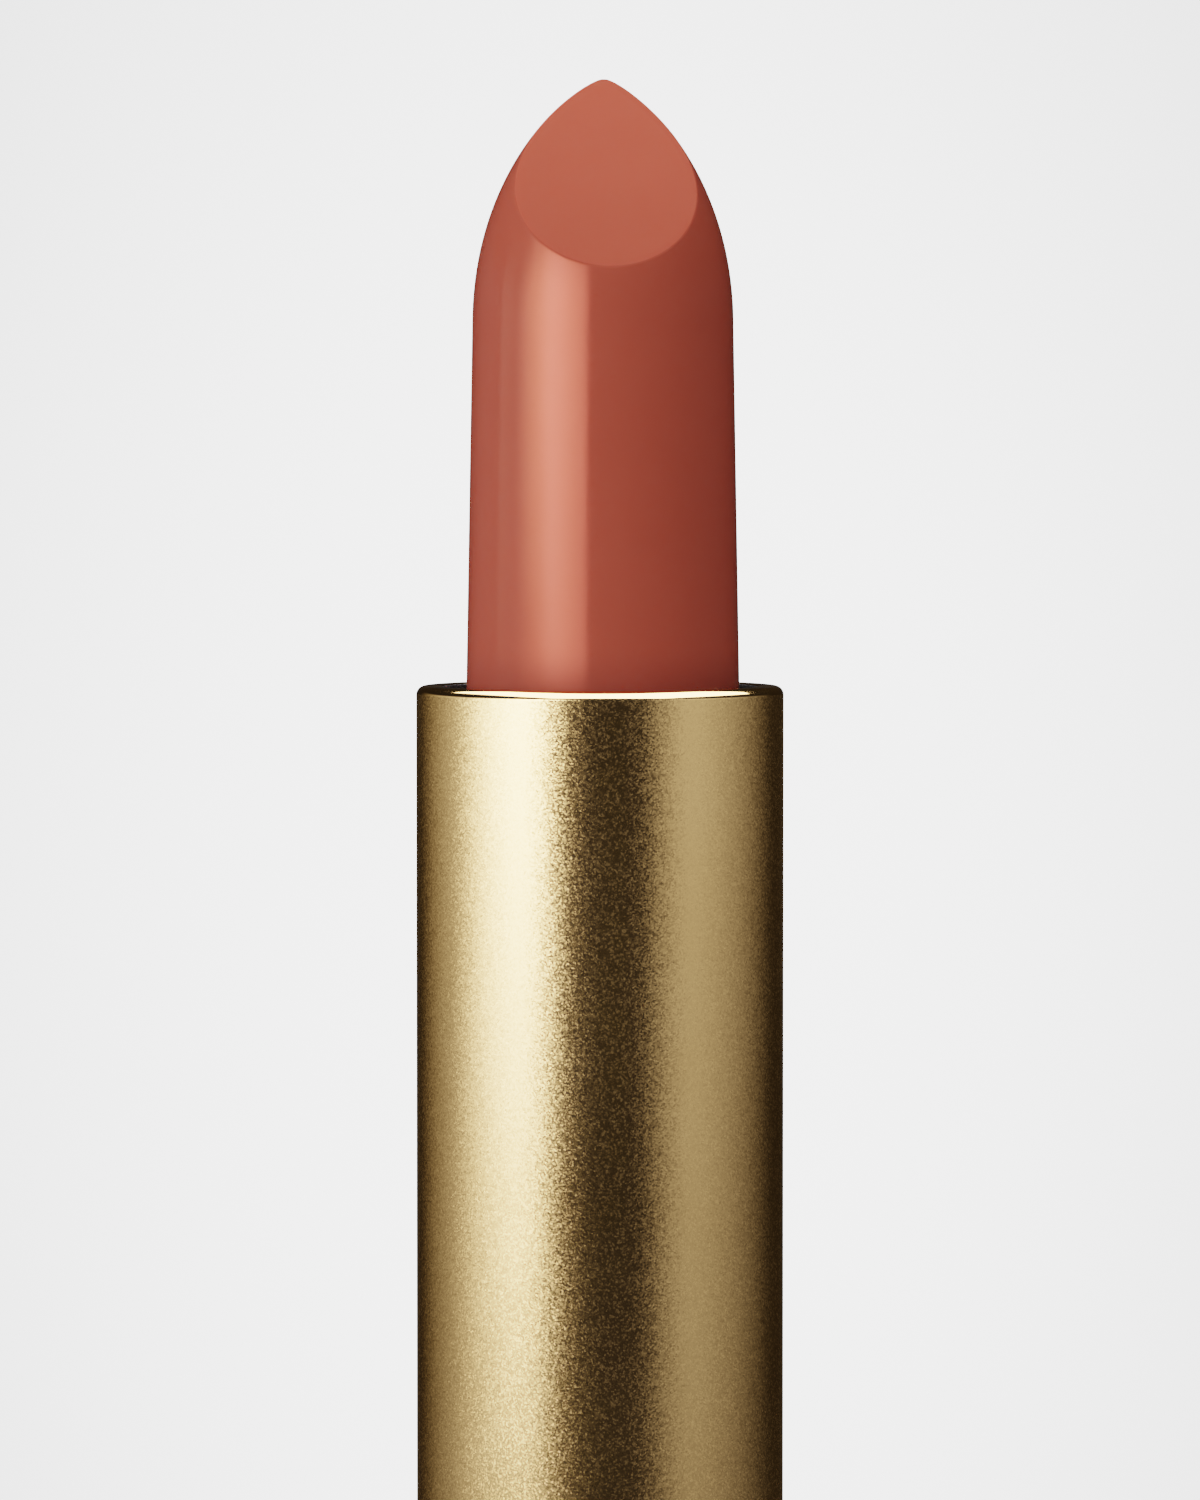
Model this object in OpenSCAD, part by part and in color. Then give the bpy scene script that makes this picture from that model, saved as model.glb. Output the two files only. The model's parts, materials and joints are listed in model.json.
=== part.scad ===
// Twist-up lipstick with its gold sleeve and weighted base, fully raised, and its cap standing
// beside it. Millimetres, +Z up, origin at the centre of the base's foot. The lipstick's cut face
// looks along -Y.

/* [Sleeve] */
// Outer diameter of the gold sleeve
sleeve_d = 16.4; // [16.4:0.1:16.6]
// Length of sleeve that shows above the base's collar
sleeve_visible = 41.4; // [40:0.2:41.6]
// Diameter of the mouth that the lipstick rises through
mouth_d = 14.1; // [13.4:0.1:14.4]
// Radius of the rounded outer rim
rim_round = 0.4; // [0.2:0.05:0.45]

/* [Lipstick] */
// Diameter where the lipstick leaves the sleeve, fully raised
bullet_d = 12.12; // [11.8:0.02:12.2]
// Diameter at the shoulder, where the nose begins
shoulder_d = 11.64; // [11.2:0.02:11.8]
// Height of the tip above the sleeve, fully raised
bullet_exposed = 27.2; // [24:0.2:27.4]
// Height of the nose, from the shoulder to the tip
nose_h = 11.2; // [9:0.1:13]
// Distance of the tip behind the axis
tip_setback = 3.3; // [2:0.1:4.5]
// Angle of the cut face from the horizontal
face_angle = 43.2; // [35:0.2:50]

/* [Twist mechanism] */
// Travel of the lipstick between its two stops
travel = 30; // [28:1:30]
// Turns of the sleeve for the whole travel
turns = 1.5; // [1.25:0.25:2]
// Diameter of the two lugs that follow the cam
lug_d = 1.8; // [1.4:0.1:2]
// Height of the cup that carries the lipstick
cup_h = 13; // [11:0.5:14]

/* [Base] */
// Outer diameter of the base and the cap
case_d = 20; // [20:0.1:21]
// Height of the base's shell
base_h = 27; // [26:0.5:28]
// Number of splines that lock the mechanism's tail in the base
splines = 8; // [6:1:10]

/* [Cap] */
// Height of the cap
cap_h = 46; // [46:0.5:50]
// Distance of the cap's axis to the right of the origin
cap_x = 41; // [32:1:60]
// Distance of the cap's axis behind the origin
cap_y = 30; // [24:1:60]

/* [Hidden] */
$fn = 96;

gold = "#c9a75e";
polished_gold = "#e6cf8c";
wax = "#b3614a";
black_plastic = "#242122";
white_plastic = "#e9e6df";
steel = "#9a9a9c";
eps = 0.01;

// Heights of the base, from the foot up
foot_recess = 0.35;
plate_top = 1.15;
liner_floor = 11.7;
liner_floor_t = 2;
liner_top = base_h - 0.6;
keeper_h = 2;
collar_top = base_h + 0.6;

// Heights of the mechanism
sleeve_top = collar_top + sleeve_visible;
sleeve_bottom = 16.1;
skirt_top = collar_top + 0.4;
tail_bottom = liner_floor + 0.05;
spline_h = 3.8;
neck_bottom = 16.9;
neck_top = 19.8;
spigot_top = 22.6;
washer_t = 0.3;
lip_t = 0.5;
cam_bottom = neck_top + washer_t + 0.1;
cam_top = sleeve_top - lip_t - 0.1;
guide_top = sleeve_top - lip_t - 0.3;
cup_top = sleeve_top - 1;
cup_bottom = cup_top - cup_h;
lug_z = cup_bottom + 1.4;
cup_floor = cup_bottom + 3.2;
cup_floor_t = 0.8;
tip_z = sleeve_top + bullet_exposed;

// Radii, from the lipstick outwards
bullet_r = bullet_d / 2;
shoulder_r = shoulder_d / 2;
cup_in = 6.12;
cup_out = 6.52;
guide_in = 6.6;
guide_out = 7.02;
cam_in = 7.1;
cam_out = 7.62;
sleeve_in = 7.7;
sleeve_out = sleeve_d / 2;
skirt_r = sleeve_out - 0.2;
mouth_r = mouth_d / 2;
spline_in = 7.2;
spline_out = 7.7;
spline_w = 1.2;
neck_r = 7.58;
crimp_r = 7.35;
socket_r = skirt_r + 0.15;
liner_out = 9.08;
shell_in = 9.2;
case_r = case_d / 2;

// Exponents of the nose's curves: at its shoulder, at its tip, and for its lean
shoulder_ease = 2.1;
tip_ease = 1.44;
lean_ease = 5;

// Small gaps round the splines and the lugs
spline_gap = 0.05;
lug_gap = 0.1;

// Rise of the cam's tracks in one turn
lead = travel / turns;

// Heights and radii of the cap
cap_skin = 9.1;
cap_bore = 8.32;
cap_ceiling = 42.3;
cap_plate_t = 1;
inlay_r = 8.3;
inlay_depth = 0.35;

// Cuts a convex corner at [x, z] to a round of radius r; sx and sz point into the solid
module corner_round(x, z, r, sx, sz) {
    difference() {
        translate([x + sx * (r - eps) / 2, z + sz * (r - eps) / 2]) square(r + eps, center = true);
        translate([x + sx * r, z + sz * r]) circle(r = r);
    }
}

// A turned piece, from its outline in radius and height and the list of its rounded corners
module turned(outline, rounds = []) {
    rotate_extrude() difference() {
        polygon(outline);
        for (c = rounds) corner_round(c[0], c[1], c[2], c[3], c[4]);
    }
}

// A plain ring between two radii and two heights
module ring(r_in, r_out, z_low, z_high) {
    rotate_extrude() translate([r_in, z_low]) square([r_out - r_in, z_high - z_low]);
}

// A plain disc or rod between two heights
module disc(r, z_low, z_high) {
    translate([0, 0, z_low]) cylinder(r = r, h = z_high - z_low);
}

// Copies of a piece set evenly round the axis
module around(count) {
    for (i = [0:count - 1]) rotate([0, 0, i * 360 / count]) children();
}

// Moves a piece of the cap from the origin to where the cap stands
module at_cap() {
    translate([cap_x, cap_y, 0]) children();
}

// ---- Base ----

module base_shell() {
    recess_r = 8.6;
    color(gold) turned([
        [0, foot_recess], [recess_r, foot_recess], [recess_r, 0], [case_r, 0],
        [case_r, base_h], [shell_in, base_h], [shell_in, plate_top], [0, plate_top]
    ], [[case_r, 0, 0.6, -1, 1], [case_r, base_h, 0.15, -1, -1]]);
}

module base_foot_disc() {
    color(polished_gold) disc(8.55, 0.12, foot_recess);
}

module shade_label() {
    color(white_plastic) disc(7, 0.04, 0.12);
}

module base_weight() {
    chamfer = 0.4;
    r = 9;
    low = plate_top + 0.05;
    top = liner_floor - liner_floor_t - 0.1;
    color(steel) turned([
        [0, low], [r - chamfer, low], [r, low + chamfer],
        [r, top - chamfer], [r - chamfer, top], [0, top]
    ]);
}

// Liner: a splined well below, a plain socket above, and a rebate for the keeper ring
module base_liner() {
    well_top = sleeve_bottom - 0.1;
    rib_w = 0.8;
    rib_reach = 0.08;
    rebate_r = 8.7;
    keeper_low = liner_top - keeper_h;
    well_r = spline_in + spline_gap;
    color(black_plastic) difference() {
        union() {
            disc(liner_out, liner_floor - liner_floor_t, liner_top);
            around(splines) translate([liner_out - 0.2, -rib_w / 2, liner_floor - liner_floor_t])
                cube([0.2 + rib_reach, rib_w, keeper_low - liner_floor]);
        }
        disc(well_r, liner_floor, base_h);
        disc(socket_r, well_top, base_h);
        around(splines) translate([0, -spline_w / 2 - spline_gap, liner_floor])
            cube([spline_out + spline_gap, spline_w + 2 * spline_gap, well_top - liner_floor]);
        ring(rebate_r, case_r, keeper_low, base_h);
    }
}

module keeper_ring() {
    color(steel) ring(8.72, 9.14, liner_top - keeper_h + 0.05, liner_top - 0.05);
}

module collar_ring() {
    flange_r = case_r - 0.15;
    plug_r = shell_in - 0.04;
    bottom = base_h - 0.55;
    color(polished_gold) turned([
        [socket_r, bottom], [plug_r, bottom], [plug_r, base_h], [flange_r, base_h],
        [flange_r, collar_top], [socket_r, collar_top]
    ], [[flange_r, collar_top, 0.25, -1, -1], [socket_r, collar_top, 0.12, 1, -1]]);
}

// ---- Twist mechanism ----

// Guide tube: two upright slots keep the cup from turning
module guide_tube() {
    slot_w = lug_d + 2 * lug_gap;
    slot_low = lug_z - travel - lug_d / 2 - 0.3;
    slot_high = lug_z + lug_d / 2 + 0.3;
    chamfer = 0.2;
    color(black_plastic) difference() {
        turned([
            [guide_in, neck_top], [guide_out, neck_top], [guide_out, guide_top - chamfer],
            [guide_out - chamfer, guide_top], [guide_in + chamfer / 2, guide_top],
            [guide_in, guide_top - chamfer / 2]
        ]);
        translate([-sleeve_out, -slot_w / 2, slot_low])
            cube([sleeve_d, slot_w, slot_high - slot_low]);
    }
}

// Tail: splines, a waist for the sleeve's crimp, a neck with a ring groove, and a spigot
module tail_plug() {
    core_r = 5;
    core_top = spigot_top - 1;
    groove_r = 7;
    groove_low = 17.9;
    groove_high = 18.7;
    spigot_r = guide_in - 0.02;
    chamfer = 0.3;
    color(black_plastic) difference() {
        union() {
            turned([
                [0, tail_bottom], [spline_in, tail_bottom], [spline_in, neck_bottom],
                [neck_r, neck_bottom], [neck_r, groove_low], [groove_r, groove_low],
                [groove_r, groove_high], [neck_r, groove_high], [neck_r, neck_top],
                [spigot_r, neck_top], [spigot_r, spigot_top - chamfer],
                [spigot_r - chamfer, spigot_top], [0, spigot_top]
            ]);
            around(splines) translate([spline_in - 0.5, -spline_w / 2, tail_bottom])
                cube([spline_out - spline_in + 0.5, spline_w, spline_h]);
        }
        disc(core_r, tail_bottom - 1, core_top);
    }
}

module friction_ring() {
    section_r = 0.33;
    centre_r = 7.35;
    centre_z = 18.3;
    color(black_plastic) rotate_extrude() translate([centre_r, centre_z])
        circle(r = section_r, $fn = 24);
}

module thrust_washer() {
    color(white_plastic) ring(guide_out + 0.04, cam_out - 0.02, neck_top + 0.02, neck_top + washer_t);
}

// Gold sleeve: a rounded rim above, a narrower skirt in the base, and a crimp at its lower end that
// hooks under the tail's neck
module outer_sleeve() {
    color(gold) turned([
        [crimp_r, sleeve_bottom], [skirt_r, sleeve_bottom], [skirt_r, skirt_top],
        [sleeve_out, skirt_top], [sleeve_out, sleeve_top], [mouth_r, sleeve_top],
        [mouth_r, sleeve_top - lip_t], [sleeve_in, sleeve_top - lip_t],
        [sleeve_in, sleeve_bottom + lip_t], [crimp_r, sleeve_bottom + lip_t]
    ], [
        [skirt_r, sleeve_bottom, 0.3, -1, 1],
        [sleeve_out, sleeve_top, rim_round, -1, -1],
        [mouth_r, sleeve_top, 0.12, 1, -1]
    ]);
}

// A bar that climbs round the axis, used to cut one helical track
module helical_bar(r_in, r_out, height, from, to, step) {
    count = ceil((to - from) / step);
    corners = [[r_in, -height / 2], [r_out, -height / 2], [r_out, height / 2], [r_in, height / 2]];
    points = [
        for (i = [0:count], c = corners)
            let (a = from + (to - from) * i / count) [c[0] * cos(a), c[0] * sin(a), lead * a / 360 + c[1]]
    ];
    sides = [
        for (i = [0:count - 1], k = [0:3])
            let (a = 4 * i + k, b = 4 * i + (k + 1) % 4) each [[a, b, a + 4], [b, b + 4, a + 4]]
    ];
    last = 4 * count;
    ends = [[0, 3, 2, 1], [last, last + 1, last + 2, last + 3]];
    polyhedron(points, concat(ends, sides));
}

// Cam sleeve: two helical tracks, half a turn apart, drive the cup's lugs
module cam_sleeve() {
    rise_angle = atan(lead / (PI * (cam_in + cam_out)));
    track_h = (lug_d + 2 * lug_gap) / cos(rise_angle) + 0.02;
    over_run = 10;
    color(white_plastic) difference() {
        ring(cam_in, cam_out, cam_bottom, cam_top);
        for (start = [0, 180]) rotate([0, 0, start]) translate([0, 0, lug_z])
            helical_bar(cam_in - 0.4, cam_out + 0.4, track_h, -360 * turns - over_run, over_run, 10);
    }
}

// ---- Cup and lipstick ----

// Cup: grips the lipstick above, and carries two lugs on springy tabs below
module bullet_cup() {
    lug_reach = cam_out - 0.08;
    slit_w = 0.4;
    slit_y = 1.9;
    slit_h = 2.8;
    rib_w = 0.4;
    rib_r = bullet_r - 0.04;
    ribs = 6;
    color(black_plastic) {
        difference() {
            disc(cup_out, cup_bottom, cup_top);
            disc(cup_in, cup_bottom - 1, cup_floor);
            disc(cup_in, cup_floor + cup_floor_t, cup_top + 1);
            for (side = [-1, 1])
                translate([-cup_out - 1, side * slit_y - slit_w / 2, cup_bottom - 1])
                    cube([2 * cup_out + 2, slit_w, slit_h + 1]);
        }
        around(2) translate([cup_in + 0.1, 0, lug_z]) rotate([0, 90, 0])
            cylinder(d = lug_d, h = lug_reach - cup_in - 0.1);
        rotate([0, 0, 30]) around(ribs)
            translate([rib_r, -rib_w / 2, cup_floor + cup_floor_t - eps])
                cube([cup_in - rib_r + 0.2, rib_w, cup_h - 5]);
    }
}

// Radius of the nose, where t runs from 0 at the tip to 1 at the shoulder
function nose_radius(t) = shoulder_r * pow(1 - pow(1 - t, shoulder_ease), 1 / tip_ease);

// Shift of the nose behind the axis, which carries the tip towards the back
function nose_shift(t) = tip_setback * pow(1 - t, lean_ease);

// Lipstick: a slightly tapered rod with a leaning, pointed nose, cut by one slanted face
module lipstick_bullet() {
    sides_n = 60;
    nose_n = 16;
    tip_blunt = 0.04;
    low = cup_floor + cup_floor_t + 0.02;
    function section(r, y, z) =
        [for (i = [0:sides_n - 1]) let (a = i * 360 / sides_n) [r * cos(a), y + r * sin(a), z]];
    points = concat(
        section(bullet_r, 0, low),
        section(bullet_r, 0, sleeve_top),
        [for (j = [nose_n:-1:1]) let (t = pow(j / nose_n, 2))
            each section(nose_radius(t), nose_shift(t), tip_z - nose_h * t)],
        [[0, tip_setback, tip_z]]
    );
    rings = nose_n + 2;
    apex = rings * sides_n;
    last = apex - sides_n;
    bottom = [[for (i = [0:sides_n - 1]) i]];
    walls = [
        for (j = [0:rings - 2], i = [0:sides_n - 1])
            let (k = (i + 1) % sides_n, a = j * sides_n + i, b = j * sides_n + k)
                each [[a, a + sides_n, b], [b, a + sides_n, b + sides_n]]
    ];
    crown = [for (i = [0:sides_n - 1]) [last + i, apex, last + (i + 1) % sides_n]];
    color(wax) difference() {
        polyhedron(points, concat(bottom, walls, crown));
        translate([0, tip_setback, tip_z - tip_blunt]) rotate([face_angle, 0, 0])
            translate([-case_r, -case_d, 0]) cube([case_d, 1.5 * case_d, case_d]);
    }
}

// ---- Cap ----

module cap_shell() {
    color(gold) at_cap() turned([
        [cap_skin, 0], [case_r, 0], [case_r, cap_h], [inlay_r, cap_h],
        [inlay_r, cap_h - inlay_depth], [0, cap_h - inlay_depth],
        [0, cap_h - cap_plate_t], [cap_skin, cap_h - cap_plate_t]
    ], [[case_r, 0, 0.15, -1, 1], [case_r, cap_h, 0.8, -1, -1]]);
}

// Liner: its bore slides over the sleeve, and a rebate outside holds the magnet
module cap_liner() {
    mouth = 0.4;
    flange = 0.7;
    rebate_top = 2.75;
    rebate_r = 8.58;
    lead_in = 0.2;
    out = cap_skin - 0.04;
    top = cap_ceiling + 0.85;
    color(black_plastic) at_cap() turned([
        [cap_bore + lead_in, mouth], [out, mouth], [out, flange], [rebate_r, flange],
        [rebate_r, rebate_top], [out, rebate_top], [out, top], [0, top],
        [0, cap_ceiling], [cap_bore, cap_ceiling], [cap_bore, mouth + lead_in]
    ]);
}

module cap_magnet() {
    color(steel) at_cap() ring(8.6, 9.04, 0.72, 2.72);
}

module cap_weight() {
    color(steel) at_cap() disc(8.95, cap_ceiling + 0.9, cap_h - cap_plate_t - 0.02);
}

module cap_top_disc() {
    color(polished_gold) at_cap() disc(inlay_r - 0.05, cap_h - inlay_depth, cap_h - 0.05);
}

base_shell();
base_foot_disc();
shade_label();
base_weight();
base_liner();
keeper_ring();
collar_ring();
guide_tube();
tail_plug();
friction_ring();
thrust_washer();
outer_sleeve();
cam_sleeve();
bullet_cup();
lipstick_bullet();
cap_shell();
cap_liner();
cap_magnet();
cap_weight();
cap_top_disc();
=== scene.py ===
"""Looks for the twist-up lipstick: gold case, raised wax bullet, and the cap beside it."""
import json
import math

import bmesh
import bpy
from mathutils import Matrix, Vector


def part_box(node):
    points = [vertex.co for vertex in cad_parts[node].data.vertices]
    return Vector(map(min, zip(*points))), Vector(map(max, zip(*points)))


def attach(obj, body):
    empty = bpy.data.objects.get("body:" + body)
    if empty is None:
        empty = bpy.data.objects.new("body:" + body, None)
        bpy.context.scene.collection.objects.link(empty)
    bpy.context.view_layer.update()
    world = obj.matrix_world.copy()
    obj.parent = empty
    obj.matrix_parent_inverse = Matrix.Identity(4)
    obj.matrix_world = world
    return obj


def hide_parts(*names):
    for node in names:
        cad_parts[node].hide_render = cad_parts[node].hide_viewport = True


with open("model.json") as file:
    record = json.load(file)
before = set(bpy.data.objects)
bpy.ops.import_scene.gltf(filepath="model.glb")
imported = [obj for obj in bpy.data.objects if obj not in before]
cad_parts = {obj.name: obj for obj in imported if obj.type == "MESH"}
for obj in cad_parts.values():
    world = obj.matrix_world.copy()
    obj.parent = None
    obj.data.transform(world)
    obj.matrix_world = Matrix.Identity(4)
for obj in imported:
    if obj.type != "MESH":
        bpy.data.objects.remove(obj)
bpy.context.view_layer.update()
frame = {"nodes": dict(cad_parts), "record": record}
MM = 0.001
# two points closer than this are one
WELD = 1e-8


# ---------------------------------------------------------------- meshes

def round_corners(corners, steps=8):
    """Closed outline from (r, z, rounding) corners; each rounded corner becomes a true fillet."""
    outline = []
    count = len(corners)
    for i, (r, z, rounding) in enumerate(corners):
        here = Vector((r, z))
        if rounding <= 0:
            outline.append((r, z))
            continue
        before = Vector(corners[i - 1][:2]) - here
        after = Vector(corners[(i + 1) % count][:2]) - here
        before.normalize()
        after.normalize()
        half = before.angle(after) / 2
        centre = here + (before + after).normalized() * (rounding / math.sin(half))
        first = here + before * (rounding / math.tan(half)) - centre
        last = here + after * (rounding / math.tan(half)) - centre
        sweep = first.angle_signed(last)
        for k in range(steps + 1):
            turn = -sweep * k / steps
            x = first.x * math.cos(turn) - first.y * math.sin(turn)
            y = first.x * math.sin(turn) + first.y * math.cos(turn)
            outline.append((centre.x + x, centre.y + y))
    return outline


def finish_mesh(name, vertices, faces, sharp_degrees=35):
    """Makes an object that is smooth apart from its edges sharper than sharp_degrees."""
    mesh = bpy.data.meshes.new(name)
    mesh.from_pydata(vertices, [], faces)
    bm = bmesh.new()
    bm.from_mesh(mesh)
    bmesh.ops.remove_doubles(bm, verts=bm.verts, dist=WELD)
    bmesh.ops.recalc_face_normals(bm, faces=bm.faces)
    bm.to_mesh(mesh)
    bm.free()
    mesh.polygons.foreach_set("use_smooth", [True] * len(mesh.polygons))
    mesh.set_sharp_from_angle(angle=math.radians(sharp_degrees))
    piece = bpy.data.objects.new(name, mesh)
    bpy.context.scene.collection.objects.link(piece)
    weighted = piece.modifiers.new("flats_stay_flat", "WEIGHTED_NORMAL")
    weighted.keep_sharp = True
    return piece


def lathe(name, outline, centre=(0.0, 0.0), segments=192):
    """Turns a closed (radius, height) outline round the upright axis through centre."""
    vertices = []
    for r, z in outline:
        for k in range(segments):
            angle = 2 * math.pi * k / segments
            vertices.append((centre[0] + r * math.cos(angle), centre[1] + r * math.sin(angle), z))
    faces = []
    count = len(outline)
    for i in range(count):
        j = (i + 1) % count
        if outline[i][0] == 0 and outline[j][0] == 0:
            continue
        for k in range(segments):
            n = (k + 1) % segments
            faces.append((i * segments + k, i * segments + n, j * segments + n, j * segments + k))
    return finish_mesh(name, vertices, faces)


# ---------------------------------------------------------------- node helpers

class Nodes:
    """A small wrapper that builds one node tree from plain calls."""

    def __init__(self, tree):
        self.tree = tree
        tree.nodes.clear()

    def add(self, kind, **settings):
        node = self.tree.nodes.new(kind)
        for key, value in settings.items():
            setattr(node, key, value)
        return node

    def feed(self, socket, value):
        if isinstance(value, bpy.types.NodeSocket):
            self.tree.links.new(value, socket)
        else:
            socket.default_value = value

    def math(self, operation, a, b=0.0, c=0.0):
        node = self.add("ShaderNodeMath", operation=operation)
        for socket, value in zip(node.inputs, (a, b, c)):
            self.feed(socket, value)
        return node.outputs[0]

    def ramp(self, value, low, high, to_low=0.0, to_high=1.0, kind="SMOOTHSTEP"):
        """Runs from to_low to to_high while value runs from low to high."""
        node = self.add("ShaderNodeMapRange", interpolation_type=kind)
        for socket, item in zip(node.inputs, (value, low, high, to_low, to_high)):
            self.feed(socket, item)
        return node.outputs[0]

    def fade(self, value, start, end, strength=1.0):
        """The given strength before start, and nothing after end."""
        return self.ramp(value, start, end, strength, 0.0)

    def product(self, first, *others):
        for other in others:
            first = self.math("MULTIPLY", first, other)
        return first

    def total(self, first, *others):
        for other in others:
            first = self.math("ADD", first, other)
        return first

    def split(self, vector):
        node = self.add("ShaderNodeSeparateXYZ")
        self.feed(node.inputs[0], vector)
        return node.outputs

    def azimuth(self, x, y):
        """Degrees to the right of the way from the lipstick to the camera."""
        return self.math("DEGREES", self.math("ARCTAN2", x, self.math("MULTIPLY", y, -1.0)))

    def noise(self, where, scale, detail, roughness=0.5):
        node = self.add("ShaderNodeTexNoise")
        self.feed(node.inputs["Vector"], where)
        node.inputs["Scale"].default_value = scale
        node.inputs["Detail"].default_value = detail
        node.inputs["Roughness"].default_value = roughness
        return node.outputs[0]

    def mix_colour(self, share, a, b):
        # among the mix node's sockets for each kind of data, 6 and 7 are the colours in, 2 the one out
        node = self.add("ShaderNodeMix", data_type="RGBA")
        self.feed(node.inputs[0], share)
        self.feed(node.inputs[6], a)
        self.feed(node.inputs[7], b)
        return node.outputs[2]

    def vector(self, operation, a, b=(0, 0, 0)):
        node = self.add("ShaderNodeVectorMath", operation=operation)
        self.feed(node.inputs[0], a)
        self.feed(node.inputs[1], b)
        return node.outputs["Value" if operation in ("LENGTH", "DISTANCE") else "Vector"]

    def bump(self, height, distance):
        node = self.add("ShaderNodeBump")
        node.inputs["Distance"].default_value = distance
        self.feed(node.inputs["Height"], height)
        return node.outputs[0]

    def grain(self, where, scale, tilt, upright_tilt):
        """Spots of a bead-blasted surface: a normal tilted at random in each, and a random number."""
        node = self.add("ShaderNodeTexVoronoi")
        self.feed(node.inputs["Vector"], where)
        node.inputs["Scale"].default_value = scale
        centred = self.vector("SUBTRACT", node.outputs["Color"], (0.5, 0.5, 0.5))
        tilted = self.vector("MULTIPLY", centred, (tilt, tilt, upright_tilt))
        normal = self.add("ShaderNodeNewGeometry").outputs["Normal"]
        number = self.split(node.outputs["Color"])[2]
        return self.vector("NORMALIZE", self.vector("ADD", normal, tilted)), number


def new_material(name):
    """A material with one shader, and the object coordinates that its textures use."""
    material = bpy.data.materials.new(name)
    material.use_nodes = True
    nodes = Nodes(material.node_tree)
    shader = nodes.add("ShaderNodeBsdfPrincipled")
    output = nodes.add("ShaderNodeOutputMaterial")
    nodes.feed(output.inputs["Surface"], shader.outputs[0])
    where = nodes.add("ShaderNodeTexCoord").outputs["Object"]
    return material, nodes, shader, where


# ---------------------------------------------------------------- materials

# Scales of textures are features per metre. A noise texture's values lie mostly in NOISE_RANGE.
NOISE_RANGE = (0.3, 0.7)
GOLD = (0.90, 0.55, 0.22, 1)
GOLD_DEEP = (0.84, 0.50, 0.19, 1)
GOLD_EDGE = (1.0, 0.72, 0.42, 1)
GOLD_CLOUD_SCALE = 180


def gold_metal(name):
    """Gold anodised metal, with no finish of its own yet."""
    material, nodes, shader, where = new_material(name)
    cloud = nodes.noise(where, GOLD_CLOUD_SCALE, detail=3)
    nodes.feed(shader.inputs["Base Color"], nodes.mix_colour(cloud, GOLD_DEEP, GOLD))
    shader.inputs["Metallic"].default_value = 1.0
    shader.inputs["Specular Tint"].default_value = GOLD_EDGE
    return material, nodes, shader, where


def satin_gold():
    """Bead-blasted aluminium: fine spots, tilted mostly sideways, about half of them duller."""
    smudge_scale, spot_scale = 90, 15000
    spot_tilt, spot_upright_tilt = 0.13, 0.013
    clean, smudged = 0.13, 0.15
    dull_spot = 0.09
    material, nodes, shader, where = gold_metal("satin_gold")
    normal, spot = nodes.grain(where, spot_scale, spot_tilt, spot_upright_tilt)
    smudge = nodes.noise(where, smudge_scale, detail=4, roughness=0.6)
    roughness = nodes.total(nodes.ramp(smudge, *NOISE_RANGE, clean, smudged),
                            nodes.ramp(spot, 0.5, 1.0, 0.0, dull_spot))
    nodes.feed(shader.inputs["Roughness"], roughness)
    nodes.feed(shader.inputs["Normal"], normal)
    return material


def polished_gold():
    smudge_scale = 400
    clean, smudged = 0.08, 0.11
    material, nodes, shader, where = gold_metal("polished_gold")
    smudge = nodes.noise(where, smudge_scale, detail=4, roughness=0.6)
    nodes.feed(shader.inputs["Roughness"], nodes.ramp(smudge, *NOISE_RANGE, clean, smudged))
    return material


def lipstick_wax(name, deep, light, rough_low, rough_high):
    """Glossy wax, with painted shade darkening it just above the sleeve's mouth, where it is also less
    glossy.
    """
    cloud_scale, smear_scale, skin_scale = 260, 500, 1500
    skin_depth = 0.0015 * MM
    foot_start, foot_end = -0.2 * MM, 2.0 * MM
    # painted shade: the colour is darkened by these factors just above the sleeve's mouth
    foot_painted_shade = (0.78, 0.83, 0.88)
    gloss, foot_gloss = 0.05, 0.018
    sheen_colour = (1.0, 0.20, 0.13, 1)
    material, nodes, shader, where = new_material(name)
    mouth_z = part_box("outer_sleeve")[1].z
    clear = nodes.ramp(nodes.split(where)[2], mouth_z + foot_start, mouth_z + foot_end)
    cloud = nodes.noise(where, cloud_scale, detail=4, roughness=0.55)
    colour = nodes.mix_colour(cloud, deep, light)
    # painted shade just above the mouth
    shaded_colour = nodes.vector("MULTIPLY", colour, foot_painted_shade)
    nodes.feed(shader.inputs["Base Color"], nodes.mix_colour(clear, shaded_colour, colour))
    smear = nodes.noise(where, smear_scale, detail=3, roughness=0.6)
    nodes.feed(shader.inputs["Roughness"], nodes.ramp(smear, *NOISE_RANGE, rough_low, rough_high))
    shader.inputs["IOR"].default_value = 1.5
    # the socket's own value is for the export, which can't keep one that varies
    shader.inputs["Specular IOR Level"].default_value = gloss
    nodes.feed(shader.inputs["Specular IOR Level"], nodes.ramp(clear, 0, 1, foot_gloss, gloss, "LINEAR"))
    shader.inputs["Specular Tint"].default_value = sheen_colour
    shader.inputs["Subsurface Weight"].default_value = 0.25
    shader.inputs["Subsurface Radius"].default_value = (1.0, 0.30, 0.18)
    shader.inputs["Subsurface Scale"].default_value = 1.2 * MM
    skin = nodes.noise(where, skin_scale, detail=3, roughness=0.6)
    nodes.feed(shader.inputs["Normal"], nodes.bump(skin, skin_depth))
    return material


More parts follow.
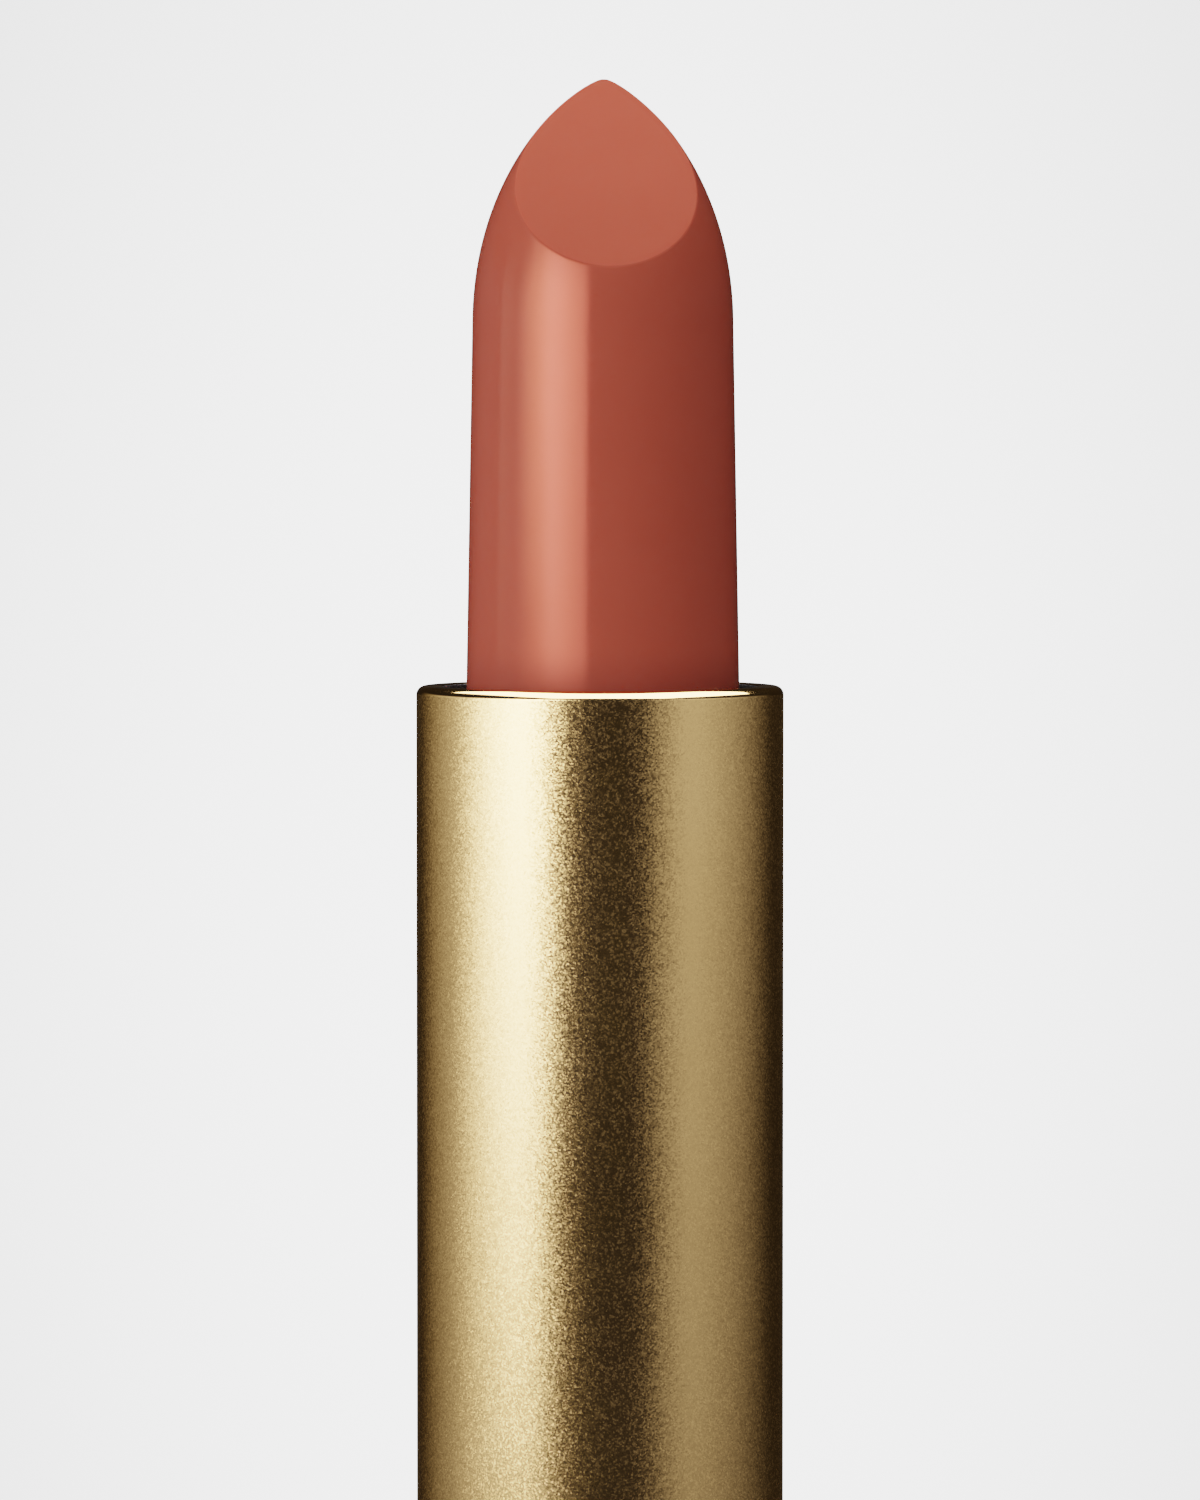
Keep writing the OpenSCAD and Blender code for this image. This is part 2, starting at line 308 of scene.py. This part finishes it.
def plastic(name, dark, light, rough_low, rough_high, grain_scale=1800):
    """Moulded plastic, rubber or paper, all with a fine grain."""
    cloud_scale = 300
    grain_depth = 0.004 * MM
    material, nodes, shader, where = new_material(name)
    cloud = nodes.noise(where, cloud_scale, detail=3)
    nodes.feed(shader.inputs["Base Color"], nodes.mix_colour(cloud, dark, light))
    grain = nodes.noise(where, grain_scale, detail=2)
    nodes.feed(shader.inputs["Roughness"], nodes.ramp(grain, *NOISE_RANGE, rough_low, rough_high))
    nodes.feed(shader.inputs["Normal"], nodes.bump(grain, grain_depth))
    return material


def zinc_steel():
    cloud_scale, grain_scale = 220, 900
    dark, light = (0.42, 0.43, 0.45, 1), (0.62, 0.62, 0.63, 1)
    rough_low, rough_high = 0.28, 0.45
    grain_depth = 0.003 * MM
    material, nodes, shader, where = new_material("zinc_steel")
    cloud = nodes.noise(where, cloud_scale, detail=4)
    nodes.feed(shader.inputs["Base Color"], nodes.mix_colour(cloud, dark, light))
    shader.inputs["Metallic"].default_value = 1.0
    grain = nodes.noise(where, grain_scale, detail=3)
    nodes.feed(shader.inputs["Roughness"], nodes.ramp(grain, *NOISE_RANGE, rough_low, rough_high))
    nodes.feed(shader.inputs["Normal"], nodes.bump(grain, grain_depth))
    return material


# wax and plastic: a darker and a lighter colour, then the lowest and the highest roughness
MATERIALS = {
    "satin_gold": satin_gold(),
    "polished_gold": polished_gold(),
    "lipstick_wax": lipstick_wax(
        "lipstick_wax", (0.345, 0.058, 0.036, 1), (0.375, 0.065, 0.041, 1), 0.10, 0.15),
    # the slanted face: the same wax painted a quarter lighter, as painted light from above, and matte
    "cut_wax_painted_lighter": lipstick_wax(
        "cut_wax_painted_lighter", (0.43, 0.073, 0.045, 1), (0.47, 0.082, 0.051, 1), 0.30, 0.38),
    "black_plastic": plastic(
        "black_plastic", (0.010, 0.009, 0.010, 1), (0.018, 0.016, 0.017, 1), 0.35, 0.5),
    "natural_plastic": plastic(
        "natural_plastic", (0.62, 0.60, 0.55, 1), (0.72, 0.70, 0.66, 1), 0.35, 0.5),
    "zinc_steel": zinc_steel(),
    "seal_rubber": plastic(
        "seal_rubber", (0.012, 0.012, 0.012, 1), (0.022, 0.022, 0.022, 1), 0.55, 0.7),
    "label": plastic(
        "label", (0.74, 0.72, 0.68, 1), (0.80, 0.78, 0.74, 1), 0.5, 0.6, grain_scale=5000),
}


def dress_cad_nodes():
    """Gives every CAD node the finished material of its slot."""
    for row in frame["record"]["subparts"]:
        node = frame["nodes"][row["node"]]
        node.data.materials.clear()
        node.data.materials.append(MATERIALS[row["material_slot"]])


# ---------------------------------------------------------------- sleeve

def make_sleeve():
    """Satin tube with a polished, rounded rim and the inner face of its mouth painted black as painted
    shade; it steps in where the collar holds it.
    """
    low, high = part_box("outer_sleeve")
    out, top, bottom = high.x, high.z, low.z
    # radii of the mouth, the bore behind it, the stepped-in skirt and the crimped lower lip
    mouth, inner, skirt, crimp = 7.05 * MM, 7.7 * MM, 8.0 * MM, 7.35 * MM
    skirt_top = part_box("collar_ring")[1].z + 0.4 * MM
    lip = 0.5 * MM
    # radii of the rounded edges
    rim, mouth_edge, skirt_edge = 0.4 * MM, 0.12 * MM, 0.3 * MM
    # the polish takes most of the rim's height, and all that lies within this radius is painted black as
    # painted shade
    polished_from = top - 0.85 * rim
    black_shade_within = mouth + 0.02 * MM
    corners = [
        (crimp, bottom, 0), (skirt, bottom, skirt_edge), (skirt, skirt_top, 0),
        (out, skirt_top, 0), (out, top, rim), (mouth, top, mouth_edge),
        (mouth, top - lip, 0), (inner, top - lip, 0), (inner, bottom + lip, 0), (crimp, bottom + lip, 0),
    ]
    sleeve = lathe("gold_sleeve", round_corners(corners, 12), segments=256)
    mesh = sleeve.data
    for finish in ("satin_gold", "polished_gold", "black_plastic"):
        mesh.materials.append(MATERIALS[finish])
    polished, black = 1, 2
    for face in mesh.polygons:
        # painted shade: the mouth's inner face is painted black
        if face.center.xy.length < black_shade_within:
            face.material_index = black
        elif face.center.z > polished_from:
            face.material_index = polished
    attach(sleeve, "sleeve")
    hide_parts("outer_sleeve")
    return sleeve


# ---------------------------------------------------------------- lipstick

# the rod's radius at the sleeve's mouth and at the shoulder, where the nose starts
BULLET_R = 6.09 * MM
SHOULDER_R = 5.82 * MM
NOSE_H = 11.2 * MM
# the tip lies behind the axis, and the rod and the tip stand a little to the right of it
TIP_SETBACK = 3.3 * MM
OFF_CENTRE = 0.13 * MM
TIP_OFF = 0.05 * MM
# the slanted face: its steepness, its turn to the right, and how far below the tip it starts
FACE_SLOPE = math.tan(math.radians(43.9))
FACE_YAW = math.radians(3.4)
TIP_BLUNT = 0.04 * MM
# how the nose's outline rounds at the shoulder and at the tip, and how late it leans back
SHOULDER_EASE = 2.1
TIP_EASE = 1.362
LEAN_EASE = 5
# enough halvings to place a point to the last digit
HALVINGS = 60


def nose_point(angle, t, tip_z):
    """A point of the nose before it is cut; t runs from 0 at the tip to 1 at the shoulder."""
    radius = SHOULDER_R * (1 - (1 - t) ** SHOULDER_EASE) ** (1 / TIP_EASE)
    lean = (1 - t) ** LEAN_EASE
    x = OFF_CENTRE + TIP_OFF * lean + radius * math.cos(angle)
    return Vector((x, TIP_SETBACK * lean + radius * math.sin(angle), tip_z - NOSE_H * t))


def face_height(x, y, tip_z):
    """Height of the slanted face's plane, which falls towards the front and a little to the right."""
    ahead = (x - OFF_CENTRE - TIP_OFF) * math.sin(FACE_YAW) - (y - TIP_SETBACK) * math.cos(FACE_YAW)
    return tip_z - TIP_BLUNT - ahead * FACE_SLOPE


def turning_point(holds, start):
    """The t, from start to 1, up to which holds(t) is true, from below and from above."""
    low, high = start, 1.0
    for _ in range(HALVINGS):
        middle = (low + high) / 2
        if holds(middle):
            low = middle
        else:
            high = middle
    return low, high


def cut_share(angle, tip_z):
    """The t at which this meridian of the nose meets the slanted face."""
    def above_face(t):
        point = nose_point(angle, t, tip_z)
        return point.z > face_height(point.x, point.y, tip_z)
    return turning_point(above_face, 0.0)[1]


def share_below(angle, start, reach, tip_z):
    """The t of the point that lies reach below the edge of the slanted face on this meridian."""
    edge = nose_point(angle, start, tip_z)
    return turning_point(lambda t: (nose_point(angle, t, tip_z) - edge).length < reach, start)[0]


def lipstick_meridian(angle, foot_z, mouth_z, tip_z, centre):
    """Points up the rod and the nose, round the edge of the slanted face and in to its centre."""
    rod_rings, nose_rings, edge_steps, face_rings = 24, 56, 5, 20
    # powers that draw the nose's rings together at its edge, and the face's rings apart there
    nose_bunching, face_bunching = 1.6, 0.8
    edge_rounding, largest_rounding_share = 0.10 * MM, 0.3
    side = Vector((math.cos(angle), math.sin(angle), 0))
    line = [side * BULLET_R + Vector((0, 0, foot_z))]
    for ring in range(rod_rings):
        share = ring / rod_rings
        height = mouth_z + (tip_z - NOSE_H - mouth_z) * share
        line.append(side * (BULLET_R + (SHOULDER_R - BULLET_R) * share) + Vector((OFF_CENTRE, 0, height)))
    stop = cut_share(angle, tip_z)
    edge = nose_point(angle, stop, tip_z)
    rounding = min(edge_rounding, (centre - edge).length * largest_rounding_share)
    last = share_below(angle, stop, rounding, tip_z)
    for ring in range(nose_rings + 1):
        t = last + (1 - last) * (1 - ring / nose_rings) ** nose_bunching
        line.append(nose_point(angle, t, tip_z))
    before = line[-1]
    after = edge + (centre - edge).normalized() * rounding
    for step in range(1, edge_steps + 1):
        share = step / edge_steps
        line.append(before.lerp(edge, share).lerp(edge.lerp(after, share), share))
    for ring in range(1, face_rings):
        line.append(after.lerp(centre, (ring / face_rings) ** face_bunching))
    return line


def make_lipstick():
    """The wax as one closed mesh of meridians; the slanted face has a material of its own."""
    low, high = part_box("lipstick_bullet")
    mouth_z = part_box("outer_sleeve")[1].z
    # a point well inside the slanted face, where its rings close
    face_y = -1.6 * MM
    centre = Vector((OFF_CENTRE, face_y, face_height(OFF_CENTRE, face_y, high.z)))
    around = 256
    vertices = []
    for k in range(around):
        vertices += lipstick_meridian(2 * math.pi * k / around, low.z, mouth_z, high.z, centre)
    each = len(vertices) // around
    vertices += [centre, Vector((0, 0, low.z))]
    top = each * around
    faces = []
    for k in range(around):
        here = k * each
        beside = (k + 1) % around * each
        for i in range(each - 1):
            faces.append((here + i, beside + i, beside + i + 1, here + i + 1))
        faces.append((here + each - 1, beside + each - 1, top))
        faces.append((beside, here, top + 1))
    bullet = finish_mesh("wax_bullet", vertices, faces, sharp_degrees=60)
    bullet.data.materials.append(MATERIALS["lipstick_wax"])
    # the slanted face takes the wax that is painted lighter, as painted light
    bullet.data.materials.append(MATERIALS["cut_wax_painted_lighter"])
    cut = 1
    flatness = 0.01 * MM
    for face in bullet.data.polygons:
        spot = face.center
        if abs(spot.z - face_height(spot.x, spot.y, high.z)) < flatness:
            face.material_index = cut
    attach(bullet, "carriage")
    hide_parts("lipstick_bullet")
    return bullet


# ---------------------------------------------------------------- base and cap

def turned_piece(name, node, body, slot, corners, centre=(0.0, 0.0)):
    """A lathed piece that stands for one CAD node; (radius, height, rounding) corners, in millimetres."""
    outline = round_corners([(r * MM, z * MM, rounding * MM) for r, z, rounding in corners])
    piece = lathe(name, outline, centre)
    piece.data.materials.append(MATERIALS[slot])
    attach(piece, body)
    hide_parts(node)
    return piece


def make_base():
    """Gold base, the disc let into its foot, and the collar that closes it round the sleeve."""
    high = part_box("base_shell")[1]
    case_r, base_h = high.x / MM, high.z / MM
    plug_low, collar_top = [corner.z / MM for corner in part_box("collar_ring")]
    # the recess in the foot, the floor over it and the wall's inner radius
    recess_r, recess_h, floor_top, wall_r = 8.6, 0.35, 1.15, 9.2
    disc_r, disc_low, disc_edge = 8.55, 0.12, 0.06
    # the collar's bore, its plug inside the wall and its flange on top
    bore_r, plug_r, flange_r = 8.15, 9.16, case_r - 0.15
    shell = turned_piece("gold_base", "base_shell", "base", "satin_gold", [
        (0, recess_h, 0), (recess_r, recess_h, 0), (recess_r, 0, 0.08), (case_r, 0, 0.6),
        (case_r, base_h, 0.15), (wall_r, base_h, 0), (wall_r, floor_top, 0), (0, floor_top, 0)])
    foot = turned_piece("polished_foot", "base_foot_disc", "base", "polished_gold", [
        (0, disc_low, 0), (disc_r, disc_low, disc_edge), (disc_r, recess_h, 0), (0, recess_h, 0)])
    collar = turned_piece("polished_collar", "collar_ring", "base", "polished_gold", [
        (bore_r, plug_low, 0), (plug_r, plug_low, 0), (plug_r, base_h, 0), (flange_r, base_h, 0.05),
        (flange_r, collar_top, 0.25), (bore_r, collar_top, 0.12)])
    return [shell, foot, collar]


def make_cap():
    """Gold cap with a disc let into its top; its liner holds a ring magnet at the mouth."""
    low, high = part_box("cap_shell")
    centre = ((low.x + high.x) / 2, (low.y + high.y) / 2)
    case_r, cap_h = (high.x - low.x) / 2 / MM, high.z / MM
    # the wall's inner radius, and the recess for the disc in the plate at the top
    wall_r, inlay_r, disc_r = 9.1, 8.3, 8.25
    inlay_z, disc_top, plate_z = cap_h - 0.35, cap_h - 0.05, cap_h - 1
    # the liner: its bore, and the rebate that holds the magnet
    bore_r, liner_r, rebate_r, lead_in = 8.32, 9.06, 8.58, 0.2
    mouth_z, rebate_low, rebate_high = 0.4, 0.7, 2.75
    bore_top, liner_top = 42.3, 43.15
    magnet_in, magnet_out, magnet_low, magnet_high, magnet_edge = 8.6, 9.04, 0.72, 2.72, 0.04
    weight_r, weight_low, weight_high, weight_edge = 8.95, 43.2, cap_h - 1.02, 0.1
    shell = turned_piece("gold_cap", "cap_shell", "cap", "satin_gold", [
        (wall_r, 0, 0.05), (case_r, 0, 0.15), (case_r, cap_h, 0.8), (inlay_r, cap_h, 0.1),
        (inlay_r, inlay_z, 0), (0, inlay_z, 0), (0, plate_z, 0), (wall_r, plate_z, 0)], centre)
    disc = turned_piece("polished_cap_top", "cap_top_disc", "cap", "polished_gold", [
        (0, inlay_z, 0), (disc_r, inlay_z, 0), (disc_r, disc_top, 0.08), (0, disc_top, 0)], centre)
    liner = turned_piece("black_cap_liner", "cap_liner", "cap", "black_plastic", [
        (bore_r + lead_in, mouth_z, 0.05), (liner_r, mouth_z, 0.05), (liner_r, rebate_low, 0),
        (rebate_r, rebate_low, 0), (rebate_r, rebate_high, 0), (liner_r, rebate_high, 0),
        (liner_r, liner_top, 0), (0, liner_top, 0), (0, bore_top, 0), (bore_r, bore_top, 0),
        (bore_r, mouth_z + lead_in, 0)], centre)
    magnet = turned_piece("ring_magnet", "cap_magnet", "cap", "zinc_steel", [
        (magnet_in, magnet_low, magnet_edge), (magnet_out, magnet_low, magnet_edge),
        (magnet_out, magnet_high, magnet_edge), (magnet_in, magnet_high, magnet_edge)], centre)
    weight = turned_piece("steel_cap_disc", "cap_weight", "cap", "zinc_steel", [
        (0, weight_low, 0), (weight_r, weight_low, weight_edge), (weight_r, weight_high, weight_edge),
        (0, weight_high, 0)], centre)
    # the lipstick is shown alone, so the cap doesn't show up in the sleeve's reflections
    for piece in (shell, disc, liner, magnet, weight):
        piece.visible_glossy = False
    return [shell, disc]


# ---------------------------------------------------------------- stage, camera and light

def make_floor():
    """Pale paper that fades out before its edge, so that it runs on into the backdrop."""
    reach = 0.34
    fade_start, fade_end = 0.13, 0.20
    mesh = bpy.data.meshes.new("floor")
    mesh.from_pydata([(-reach, -reach, 0), (reach, -reach, 0), (reach, reach, 0), (-reach, reach, 0)], [],
                     [(0, 1, 2, 3)])
    floor = bpy.data.objects.new("floor", mesh)
    bpy.context.scene.collection.objects.link(floor)
    material, nodes, shader, where = new_material("floor_paper")
    shader.inputs["Base Color"].default_value = (0.80, 0.80, 0.80, 1)
    shader.inputs["Roughness"].default_value = 0.7
    nodes.feed(shader.inputs["Alpha"], nodes.fade(nodes.vector("LENGTH", where), fade_start, fade_end))
    mesh.materials.append(material)
    floor.visible_glossy = False
    floor.visible_diffuse = False
    return floor


def studio_strength(nodes, direction):
    """Light of the studio that the object reflects: soft boxes left and right, and the pale table."""
    lean = 0.8
    ambient = 0.016
    x, y, z = nodes.split(direction)
    azimuth = nodes.azimuth(x, y)
    elevation = nodes.math("DEGREES", nodes.math("ARCSINE", z))
    leaning = nodes.math("SUBTRACT", azimuth, nodes.math("MULTIPLY", elevation, lean))
    above = nodes.fade(elevation, 5, 15)

    def box(strength, left, right, bottom, across=azimuth):
        """A soft box; each edge says in degrees where its light begins to change, and where it ends."""
        return nodes.product(nodes.ramp(across, *left), nodes.fade(across, *right),
                             nodes.ramp(elevation, *bottom), above, strength)

    core = box(20.8, left=(-104, -25), right=(-53.5, -19.5), bottom=(-8.5, 1.7), across=leaning)
    wide = box(6.8, left=(-155, -65), right=(-105, 0), bottom=(-20, 51))
    fill = box(1.96, left=(22, 63), right=(32, 140), bottom=(-17, 16))
    # the glow of the soft boxes on the table, at the left, at the right and behind the object
    left = nodes.product(nodes.ramp(azimuth, -120, -60), nodes.fade(azimuth, -60, -15, 1.5))
    right = nodes.product(nodes.ramp(azimuth, 15, 55), nodes.fade(azimuth, 70, 130, 0.6))
    behind = nodes.ramp(nodes.math("ABSOLUTE", azimuth), 115, 165, 0.25, 1.3)
    table = nodes.product(nodes.total(left, right, behind), nodes.fade(elevation, -22, -10))
    return nodes.total(core, wide, fill, table, ambient)


def backdrop_strength(nodes, direction):
    """Light of the pale backdrop, a little brighter straight behind the lipstick."""
    brightest = (0.0, 1.0, -0.034)
    flattening = (1.0, 1.0, 0.55)
    middle_strength, edge_strength = 3.5, 2.0
    away = nodes.vector("DISTANCE", nodes.vector("MULTIPLY", direction, flattening), brightest)
    return nodes.ramp(away, 0.02, 0.15, middle_strength, edge_strength)


def make_world():
    """The camera sees the backdrop, and everything else sees the studio."""
    world = bpy.data.worlds.new("studio")
    bpy.context.scene.world = world
    world.use_nodes = True
    nodes = Nodes(world.node_tree)
    direction = nodes.add("ShaderNodeTexCoord").outputs["Generated"]
    mix = nodes.add("ShaderNodeMixShader")
    nodes.feed(mix.inputs[0], nodes.add("ShaderNodeLightPath").outputs["Is Camera Ray"])
    for socket, strength in zip(mix.inputs[1:], (studio_strength, backdrop_strength)):
        background = nodes.add("ShaderNodeBackground")
        background.inputs["Color"].default_value = (1, 1, 1, 1)
        nodes.feed(background.inputs["Strength"], strength(nodes, direction))
        nodes.feed(socket, background.outputs[0])
    output = nodes.add("ShaderNodeOutputWorld")
    nodes.feed(output.inputs["Surface"], mix.outputs[0])


def make_panel(name, centre, facing, size, radiance, receivers, tint=None):
    """A rectangular soft box that lights only its receivers.

    The radiance and the tint are functions of nodes and a point's x, y and z.
    """
    data = bpy.data.lights.new(name, "AREA")
    data.shape = "RECTANGLE"
    width, height = size
    data.size = width
    data.size_y = height
    # at this power the emission strength is the panel's radiance
    data.energy = 4 * width * height
    data.use_nodes = True
    nodes = Nodes(data.node_tree)
    point = nodes.split(nodes.add("ShaderNodeNewGeometry").outputs["Position"])
    emission = nodes.add("ShaderNodeEmission")
    nodes.feed(emission.inputs["Strength"], radiance(nodes, *point))
    if tint:
        nodes.feed(emission.inputs["Color"], tint(nodes, *point))
    output = nodes.add("ShaderNodeOutputLight")
    nodes.feed(output.inputs["Surface"], emission.outputs[0])
    panel = bpy.data.objects.new(name, data)
    bpy.context.scene.collection.objects.link(panel)
    panel.location = centre
    panel.rotation_mode = "QUATERNION"
    panel.rotation_quaternion = Vector(facing).to_track_quat("-Z", "Y")
    lit = bpy.data.collections.new(name + "_receivers")
    for piece in receivers:
        lit.objects.link(piece)
    panel.light_linking.receiver_collection = lit
    panel.visible_camera = False
    return panel


def even(strength):
    """The same radiance all over a panel."""
    return lambda nodes, x, y, z: strength


def wax_panel_radiance(nodes, x, y, z):
    """Bright towards the right, where the panel ends sharply, and fading upwards and downwards."""
    # below this height the left side leans, by this many degrees a metre
    lean_from, lean_rate = 0.082, 850
    azimuth = nodes.azimuth(x, y)
    edge = nodes.fade(azimuth, -17.0, -11.5)
    # so the highlight narrows downwards
    drop = nodes.math("SUBTRACT", nodes.math("MINIMUM", z, lean_from), lean_from)
    leaning = nodes.math("MULTIPLY_ADD", drop, lean_rate, azimuth)
    left_side = nodes.ramp(leaning, -84, -38, 0.02, 1.0)
    middle = nodes.ramp(azimuth, -50, -12, 1.15, 0.5)
    upper = nodes.fade(z, 0.14, 0.50, 132.0)
    lower = nodes.ramp(z, 0.024, 0.100, 0.0, 1.60, "LINEAR")
    return nodes.product(edge, left_side, middle, upper, lower)


def wax_panel_tint(nodes, x, y, z):
    """Warmer on its left part, which the lipstick's left flank reflects."""
    warm, white = (1.0, 0.82, 0.62, 1), (1, 1, 1, 1)
    return nodes.mix_colour(nodes.ramp(nodes.azimuth(x, y), -66, -40), warm, white)


def ceiling_radiance(nodes, x, y, z):
    """Even, with soft ends, and a little to the right of the lipstick."""
    middle_x, even_to, end = 0.10, 0.48, 0.6
    off_centre = nodes.math("ABSOLUTE", nodes.math("SUBTRACT", x, middle_x))
    return nodes.fade(off_centre, even_to, end, 9.0)


def strip_radiance(nodes, x, y, z):
    """Brightest at the front."""
    front_y, back_y = -0.55, -0.20
    return nodes.fade(y, front_y, back_y, 10.2)


def make_panels(bullet, sleeve, case_pieces, floor):
    """The lights: each one has a centre, a facing, a width and height, and a radiance."""
    down, to_back_right = (0, 0, -1), (1, 1, 0)
    ceiling_centre, ceiling_size = (0.10, -0.19, 0.47), (1.2, 1.12)
    wax = make_panel("wax_panel", (-0.354, -0.354, 0.08), to_back_right, (1.5, 0.9),
                     wax_panel_radiance, [bullet], wax_panel_tint)
    wax.visible_diffuse = False
    make_panel("ceiling", ceiling_centre, down, ceiling_size, ceiling_radiance, [sleeve])
    make_panel("case_ceiling", ceiling_centre, down, ceiling_size, even(2.4), case_pieces)
    make_panel("strip", (0.10, -0.70, 0.58), down, (0.17, 1.00), strip_radiance, [bullet])
    crown = make_panel("crown", (0, -0.006, 0.1142), down, (0.012, 0.012), even(6.5), [bullet])
    crown.visible_glossy = False
    make_panel("table_light", (0.01, -0.05, 0.65), down, (0.9, 0.9), even(6.0), [floor])
    # keeps the bright rims from throwing their light back on the lipstick and the table
    for piece in [sleeve] + case_pieces:
        piece.visible_diffuse = False


def make_camera():
    """Long lens, slightly above the sleeve's rim, looking a little down at the lipstick."""
    distance = 0.330
    pitch = math.radians(2.4)
    frame_height = 0.0670
    rim_above_centre = 2.88 * MM
    rim_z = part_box("outer_sleeve")[1].z
    aim = Vector((0, 0, rim_z - rim_above_centre))
    back = Vector((0, -math.cos(pitch), math.sin(pitch)))
    data = bpy.data.cameras.new("camera")
    # the picture is upright, so the sensor's width spans the height of the frame
    data.sensor_width = 36.0
    data.lens = data.sensor_width * distance / frame_height
    data.clip_start = 0.01
    camera = bpy.data.objects.new("camera", data)
    bpy.context.scene.collection.objects.link(camera)
    camera.location = aim + back * distance
    camera.rotation_mode = "QUATERNION"
    camera.rotation_quaternion = (-back).to_track_quat("-Z", "Y")
    bpy.context.scene.camera = camera


bpy.context.scene.view_settings.view_transform = "Filmic"
make_camera()
make_world()
dress_cad_nodes()
make_panels(make_lipstick(), make_sleeve(), make_base() + make_cap(), make_floor())
